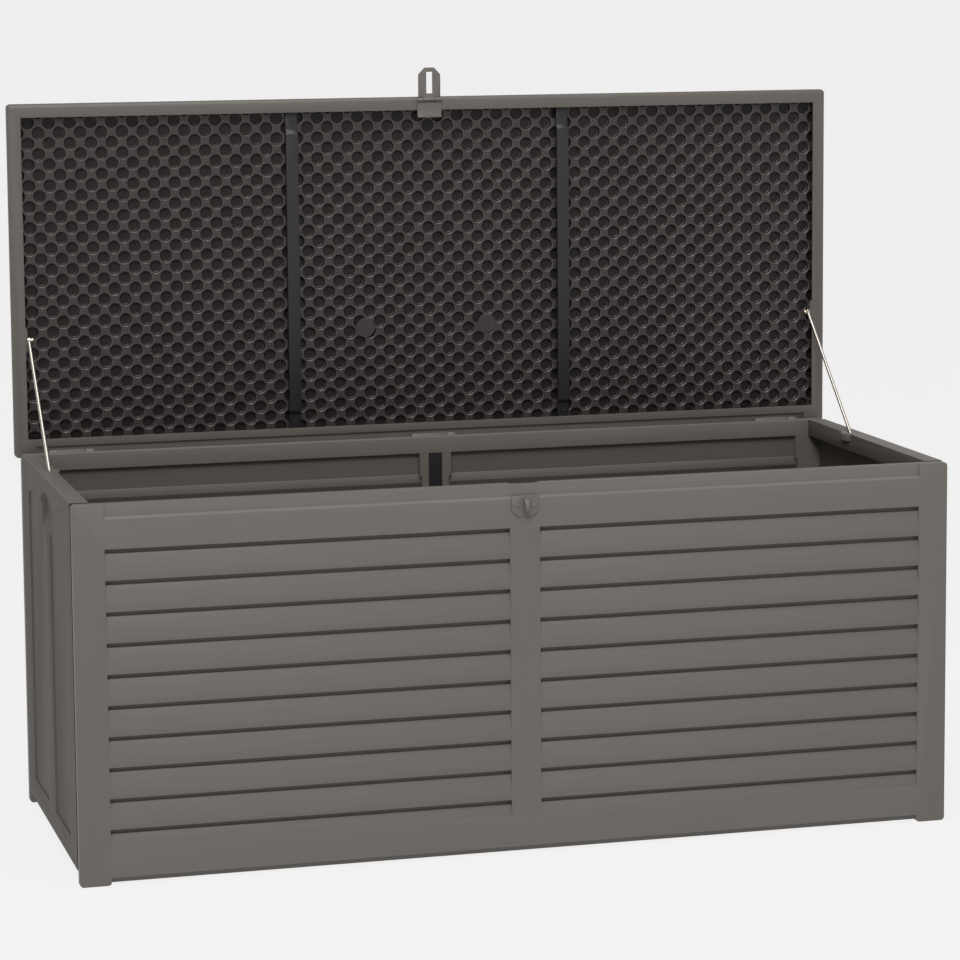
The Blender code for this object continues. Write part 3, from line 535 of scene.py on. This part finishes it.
def body_knuckles():
    """A bored knuckle on each side of each of the three lid knuckles."""
    y, z = HINGE_AXIS[1:]
    root = REAR_Y - BAND_DEPTH - SKIN_T / 2
    foot = RIM_Z - BAND_H / 2 - 0.004
    turns = [math.radians(a) for a in range(-90, 91, 15)]
    outline = [(root, foot), (y - KNUCKLE_R, foot)]
    outline += [(y + KNUCKLE_R * math.cos(turn), z + KNUCKLE_R * math.sin(turn)) for turn in turns]
    outline += [(REAR_Y - 0.004, z + KNUCKLE_R), (root, RIM_Z - 0.001)]
    first = drawn("knuckle", [(0.0, y, z) for y, z in outline], (BODY_KNUCKLE_W, 0, 0))
    deselect()
    bpy.ops.mesh.primitive_cylinder_add(vertices=20, radius=PIN_BORE_R, depth=THROUGH, location=HINGE_AXIS,
                                        rotation=(0, math.pi / 2, 0))
    carve(first, done(bpy.context.object))
    round_edges(first, 0.0006, 2)
    first.data.materials.append(board_resin)
    knuckles = []
    for middle in (-HINGE_X, 0.0, HINGE_X):
        clear = LID_KNUCKLE_W / 2 + KNUCKLE_GAP
        for start in (clear, -clear - BODY_KNUCKLE_W):
            made = copy_of(first, "knuckle")
            bpy.ops.transform.translate(value=(middle + start, 0, 0))
            knuckles.append(done(made))
    bpy.data.objects.remove(first)
    piece = joined("rear_panel_knuckles", knuckles)
    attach(piece, "box")


def paint_panel(piece):
    """Grain runs up the stiles and along everything else. The tucked foot of the plinth takes the darker
    shadow_resin as painted shade.
    """
    for look in (board_resin, stile_resin, shadow_resin):
        piece.data.materials.append(look)
    for face in piece.data.polygons:
        x, z = abs(face.center.x), face.center.z
        upright = x > INNER or (x < STILE_W / 2 and PLINTH_TOP < z < FIELD_TOP)
        tucked = x < INNER and z < PLINTH_BOTTOM + 0.001 and face.normal.z < -0.3
        face.material_index = 2 if tucked else 1 if upright else 0


def paint_boards(piece):
    """The backs and the walls of the grooves take the darker shadow_resin as painted shade."""
    piece.data.materials.append(board_resin)
    piece.data.materials.append(shadow_resin)
    for face in piece.data.polygons:
        depth = min(abs(face.center.y - FRONT_Y), abs(face.center.y - REAR_Y))
        outward = (face.center.y > 0) == (face.normal.y > 0)
        in_groove = LAP_DEPTH + 0.0012 < depth < GROOVE_SHOWN + GAP
        if in_groove and (outward or abs(face.normal.z) > 0.9):
            face.material_index = 1


def long_panels():
    """The front and rear panels, each a frame with two bays of lapped boards in it."""
    for node, face_y, inward in (("front_panel", FRONT_Y, 1), ("rear_panel", REAR_Y, -1)):
        plate = panel_frame(f"{node}_frame", face_y, inward)
        if inward > 0:
            notch = block("cutter", (-HASP_NOTCH_HALF, face_y - PAST, RIM_Z - HASP_NOTCH_DEPTH),
                          (HASP_NOTCH_HALF, face_y + 0.03, RIM_Z + PAST))
            carve(plate, notch)
        round_edges(plate, FRAME_EDGE_R, 3)
        paint_panel(plate)
        bays = ((-INNER - BOARD_TUCK, -STILE_W / 2 + BOARD_TUCK),
                (STILE_W / 2 - BOARD_TUCK, INNER + BOARD_TUCK))
        sheets = [lapped_sheet("boards", a, b, lambda d: face_y + inward * d) for a, b in bays]
        boards = joined(f"{node}_boards", sheets)
        paint_boards(boards)
        stand_for(plate, node)
        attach(boards, "box")


long_panels()
body_knuckles()


# ---------------------------------------------------------------- lid liner

def pick(piece, chosen):
    """Selects the vertices at chosen places, and stays in edit mode."""
    bpy.ops.object.mode_set(mode="EDIT")
    bpy.ops.mesh.select_mode(type="VERT")
    bpy.ops.mesh.select_all(action="DESELECT")
    bpy.ops.object.mode_set(mode="OBJECT")
    for vertex in piece.data.vertices:
        vertex.select = chosen(vertex.co)
    bpy.ops.object.mode_set(mode="EDIT")


def liner_cup(centre):
    """One cup with the square patch of sheet round it."""
    deselect()
    bpy.ops.mesh.primitive_circle_add(vertices=16, radius=DIMPLE_R, location=centre,
                                      rotation=(math.pi / 2, 0, 0))
    cup = done(bpy.context.object)
    cup.name = "lid_liner_dimples"
    for look in (dark_resin, cup_shade_resin, lip_highlight_resin):
        cup.data.materials.append(look)
    edit(cup)
    wall_foot_r = DIMPLE_FLOOR_R + DIMPLE_FOOT_W
    wall = (WALL_SHARE, DIMPLE_R, wall_foot_r)
    wall_foot = (1 - WALL_SHARE, wall_foot_r, DIMPLE_FLOOR_R)
    for share, near, far in (wall, wall_foot):
        bpy.ops.mesh.extrude_region_move(TRANSFORM_OT_translate={"value": (0, DIMPLE_DEPTH * share, 0)})
        bpy.ops.transform.resize(value=(far / near, 1, far / near), center_override=centre)
    bpy.ops.mesh.edge_face_add()
    pick(cup, lambda co: abs(co.y - centre.y) < 0.0001)
    lip_r = DIMPLE_R + LIP_W
    bpy.ops.mesh.extrude_region_move(TRANSFORM_OT_translate={"value": (0, -LIP_H, 0)})
    bpy.ops.transform.resize(value=(lip_r / DIMPLE_R, 1, lip_r / DIMPLE_R), center_override=centre)
    bpy.ops.mesh.extrude_region_move(TRANSFORM_OT_translate={"value": (0, 0, 0)})
    bpy.ops.transform.resize(value=(SHEET_START, 1, SHEET_START), center_override=centre)
    for step in (0.0, 22.5, 45.0, 67.5):
        angle = math.radians(step)
        reach = LINER_PITCH / 2 / (math.cos(angle) + math.sin(angle))

        def on_spoke(co):
            offset = co - centre
            turned = math.degrees(math.atan2(offset.z, offset.x)) - step
            return offset.xz.length > lip_r * 1.02 and abs((turned + 45) % 90 - 45) < 1

        pick(cup, on_spoke)
        grow = reach / (lip_r * SHEET_START)
        bpy.ops.transform.resize(value=(grow, 1, grow), center_override=centre)
    bpy.ops.object.mode_set(mode="OBJECT")
    # The cup floors are painted darker as painted shade, and the lip rings lighter and glossier as a painted
    # highlight.
    for face in cup.data.polygons:
        out = (face.center - centre).xz.length
        if out < DIMPLE_FLOOR_R * 0.9:
            face.material_index = 1
        elif DIMPLE_R * 0.985 < out < lip_r:
            face.material_index = 2
    return cup


def dimpled_liner():
    """A sheet of cups on a square lattice turned by half a right angle, trimmed to the lid."""
    low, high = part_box("lid_liner")
    sheet = liner_cup(Vector((0, low.y + LIP_H, (low.z + high.z) / 2)))
    done(sheet)
    for count, step in ((LINER_COLUMNS, (LINER_PITCH, 0, 0)), (LINER_ROWS, (0, 0, LINER_PITCH))):
        use(sheet, "ARRAY", count=count, use_relative_offset=False, use_constant_offset=True,
            constant_offset_displace=step)
    edit(sheet)
    centring = (-LINER_PITCH * (LINER_COLUMNS - 1) / 2, 0, -LINER_PITCH * (LINER_ROWS - 1) / 2)
    bpy.ops.transform.translate(value=centring)
    bpy.ops.mesh.duplicate()
    bpy.ops.transform.translate(value=(LINER_PITCH / 2, 0, LINER_PITCH / 2))
    bpy.ops.mesh.select_all(action="SELECT")
    bpy.ops.mesh.remove_doubles(threshold=0.0002)
    for place, outwards in ((low, (-1, 0, 0)), (high, (1, 0, 0)), (low, (0, 0, -1)), (high, (0, 0, 1))):
        bpy.ops.mesh.select_all(action="SELECT")
        bpy.ops.mesh.bisect(plane_co=place, plane_no=outwards, clear_outer=True)
    bpy.ops.mesh.select_all(action="SELECT")
    bpy.ops.mesh.normals_make_consistent(inside=False)
    done(sheet)
    bpy.ops.object.shade_smooth_by_angle(angle=math.radians(30))
    stand_for(sheet, "lid_liner")


def liner_bosses():
    """Two flat round bosses that stand a little proud of the sheet."""
    low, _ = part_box("lid_liner")
    deselect()
    bpy.ops.mesh.primitive_cylinder_add(vertices=40, radius=BOSS_R, depth=BOSS_T,
                                        location=(0, low.y + BOSS_SETBACK, BOSS_Z),
                                        rotation=(math.pi / 2, 0, 0))
    first = done(bpy.context.object)
    edit(first, "FACE")
    bpy.ops.mesh.select_all(action="DESELECT")
    bpy.ops.object.mode_set(mode="OBJECT")
    for face in first.data.polygons:
        face.select = face.normal.y < -0.9
    bpy.ops.object.mode_set(mode="EDIT")
    bpy.ops.mesh.inset(thickness=BOSS_FACE_INSET, depth=0)
    done(first)
    use(first, "BEVEL", width=0.0003, segments=1, limit_method="ANGLE", angle_limit=math.radians(50))
    bpy.ops.object.shade_smooth_by_angle(angle=math.radians(25))
    first.data.materials.append(dark_resin)
    bosses = []
    for x in BOSS_X:
        made = copy_of(first, "boss")
        bpy.ops.transform.translate(value=(x, 0, 0))
        bosses.append(done(made))
    bpy.data.objects.remove(first)
    piece = joined("lid_liner_bosses", bosses)
    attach(piece, "lid")


dimpled_liner()
liner_bosses()


# ---------------------------------------------------------------- the other mouldings and fittings

# The lid panel and the side panels take darker copies of the resin as painted shade.
moulding("lid_panel", 0.0014, lid_shaded_resin, 2, LID_CORNER_R)
for node in ("left_side_panel", "right_side_panel"):
    corner_seams(moulding(node, 0.0014, side_shaded_resin), node)
moulding("hasp_plate", 0.0005, fitting_resin)
moulding("hasp_flap", 0.0006, fitting_resin)
moulding("staple", 0.0007, fitting_resin)
for side in ("left", "right"):
    moulding(f"stay_guide_{side}", 0.0024, fitting_resin, 3)
    moulding(f"stay_stop_{side}", 0.0010, fitting_resin, 3)
    moulding(f"stay_rod_{side}", 0.0003, rod_steel)
    moulding(f"stay_stud_{side}", 0.0006, brass_plate)
    moulding(f"lid_bar_{side}", 0.0012, black_coat)
for name, node in frame["nodes"].items():
    if node.hide_render:
        continue
    if "hinge_pin" in name:
        look = bright_steel
    elif "staple" in name or "hasp" in name:
        look = painted_steel
    elif "screw" in name or "brace" in name:
        look = black_coat
    else:
        look = board_resin
    node.data.materials.clear()
    node.data.materials.append(look)


# ---------------------------------------------------------------- floor, light and camera

FLOOR_SHADE = 0.05
FLOOR_GLOW = 0.838
SKY = ((0.06, 0.863), (0.40, 0.42))  # tone at two heights of the sky
LAMPS = (  # name, place, size and power
    ("key", (-1.4, -3.8, 4.6), 1.8, 190.0),
    ("fill", (2.6, -4.6, 2.4), 2.5, 7.0),
    ("top", (0.2, -1.0, 5.0), 2.4, 90.0),
)
LAMP_AIM = (0, 0, 0.5)


def studio():
    """A pale floor that runs to the horizon, a sky that is darker overhead and three soft lamps."""
    deselect()
    bpy.ops.mesh.primitive_plane_add(size=400, location=(0, 0, 0))
    floor = bpy.context.object
    floor.name = "studio_floor"
    paper, _, shader = finish("pale_floor", (FLOOR_SHADE,) * 3, 0.9)
    shader.inputs["Specular IOR Level"].default_value = 0.0
    shader.inputs["Emission Color"].default_value = (1.0, 1.0, 1.0, 1.0)
    shader.inputs["Emission Strength"].default_value = FLOOR_GLOW
    floor.data.materials.append(paper)
    world = bpy.data.worlds.new("studio")
    bpy.context.scene.world = world
    world.use_nodes = True
    tree = world.node_tree
    place = tree.nodes.new("ShaderNodeTexCoord")
    split = tree.nodes.new("ShaderNodeSeparateXYZ")
    ramp = tree.nodes.new("ShaderNodeValToRGB")
    tree.links.new(place.outputs["Generated"], split.inputs["Vector"])
    tree.links.new(split.outputs["Z"], ramp.inputs["Fac"])
    for element, (height, tone) in zip((ramp.color_ramp.elements[0], ramp.color_ramp.elements[1]), SKY):
        element.position = height
        element.color = (tone, tone, tone, 1.0)
    tree.links.new(ramp.outputs["Color"], tree.nodes["Background"].inputs["Color"])
    for name, place, size, power in LAMPS:
        bpy.ops.object.light_add(type="AREA", location=place)
        light = bpy.context.object
        light.name = name
        light.data.size = size
        light.data.energy = power
        light.rotation_euler = (Vector(LAMP_AIM) - Vector(place)).to_track_quat("-Z", "Y").to_euler()


CAMERA_PLACE = (-1.4878, -5.4798, 1.4430)
CAMERA_TURN = (15.277, 7.131, -0.444)  # degrees to the right of +Y, down, and rolled


def camera():
    azimuth, elevation, roll = (math.radians(a) for a in CAMERA_TURN)
    flat = math.cos(elevation)
    ahead = Vector((math.sin(azimuth) * flat, math.cos(azimuth) * flat, -math.sin(elevation)))
    level = Vector((math.cos(azimuth), -math.sin(azimuth), 0))
    above = level.cross(ahead)
    right = level * math.cos(roll) + above * math.sin(roll)
    up = above * math.cos(roll) - level * math.sin(roll)
    bpy.ops.object.camera_add()
    made = bpy.context.object
    turn = Matrix((right, up, -ahead)).transposed().to_4x4()
    made.matrix_world = Matrix.Translation(CAMERA_PLACE) @ turn
    made.data.lens = 127.42
    made.data.sensor_width = 36.0
    made.data.shift_y = -0.10
    made.data.clip_end = 200.0
    bpy.context.scene.camera = made


studio()
camera()
bpy.context.scene.view_settings.view_transform = "Standard"
